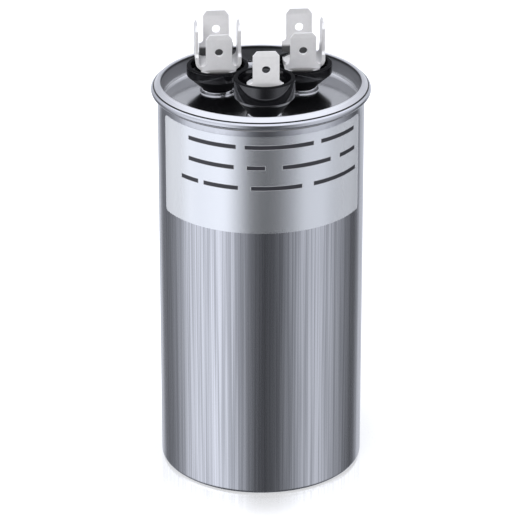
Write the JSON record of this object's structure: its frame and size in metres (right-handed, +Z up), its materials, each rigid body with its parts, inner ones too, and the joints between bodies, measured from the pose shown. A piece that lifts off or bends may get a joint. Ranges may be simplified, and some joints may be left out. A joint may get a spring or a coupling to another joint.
{
  "type": "motor run capacitor",
  "caption": "Round oil-filled motor run capacitor: metal can with crimped lid, silver label and quick-connect tabs in black insulating cups.",
  "frame": {"origin": "middle of the foot, on the surface the can stands on", "axes": "+Z up along the can, towards the terminals; -Y towards the fan terminal and the label; +X towards the herm terminal's side"},
  "size_m": [0.0532, 0.0532, 0.1134],
  "materials": {
    "can_metal": "fine drawn lines along the can, satin",
    "lid_metal": "bright rolled sheet",
    "seal_rubber": "matt",
    "label_film": "smooth satin silver film",
    "cup_plastic": "moulded, glossy black",
    "tinned_metal": "bright tin plating",
    "deck_plastic": "moulded",
    "barrier_film": "film",
    "core_plastic": "moulded",
    "wrap_film": "film wrap",
    "insulator_plastic": "moulded",
    "metallised_film": "edge of wound film",
    "zinc_spray": "sprayed, rough",
    "lead_wire": "tinned copper"
  },
  "bodies": {
    "root": {"can": "can_metal", "lid": "lid_metal", "seam_compound": "seal_rubber", "label": "label_film", "cup_fan": "cup_plastic", "cup_herm": "cup_plastic", "cup_common": "cup_plastic", "gasket_fan": "seal_rubber", "gasket_herm": "seal_rubber", "gasket_common": "seal_rubber", "stud_fan": "tinned_metal", "stud_herm": "tinned_metal", "stud_common": "tinned_metal", "tab_fan": "tinned_metal", "tab_herm_lower": "tinned_metal", "tab_herm_upper": "tinned_metal", "tab_common_lower": "tinned_metal", "tab_common_upper": "tinned_metal", "lower_insulator_fan": "insulator_plastic", "lower_insulator_herm": "insulator_plastic", "lower_insulator_common": "insulator_plastic", "lug_fan": "tinned_metal", "lug_herm": "tinned_metal", "lug_common": "tinned_metal", "interrupter_deck": "deck_plastic", "lead_fan": "lead_wire", "lead_herm": "lead_wire", "lead_common": "lead_wire", "winding_herm": "metallised_film", "winding_fan": "metallised_film", "section_barrier": "barrier_film", "winding_core": "core_plastic", "end_spray_herm": "zinc_spray", "end_spray_fan": "zinc_spray", "end_spray_common": "zinc_spray", "element_wrap": "wrap_film", "base_pad": "insulator_plastic"}
  },
  "joints": []
}
